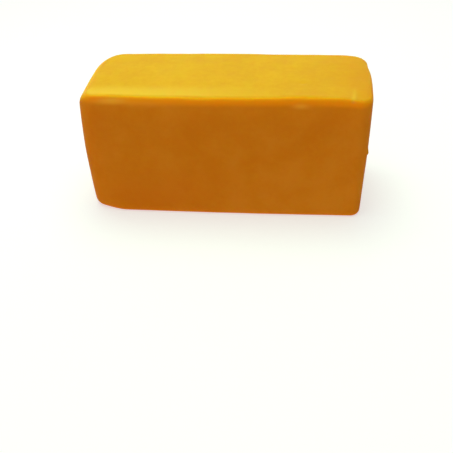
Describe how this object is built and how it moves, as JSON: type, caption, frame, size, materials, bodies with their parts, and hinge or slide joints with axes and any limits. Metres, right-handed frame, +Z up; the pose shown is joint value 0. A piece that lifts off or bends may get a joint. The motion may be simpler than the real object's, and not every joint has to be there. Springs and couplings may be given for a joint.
{
  "type": "semi-hard cheese loaf",
  "caption": "Long rectangular loaf of yellow semi-hard cheese with rounded edges, slightly swollen faces and a flat underside to rest on.",
  "frame": {"origin": "middle of the flat underside", "axes": "+X along the loaf, -Y towards the front, +Z up"},
  "size_m": [0.289, 0.1128, 0.1331],
  "materials": {
    "cheese": "smooth, slightly waxy, satin"
  },
  "bodies": {
    "root": {"cheese_loaf": "cheese"}
  },
  "joints": []
}
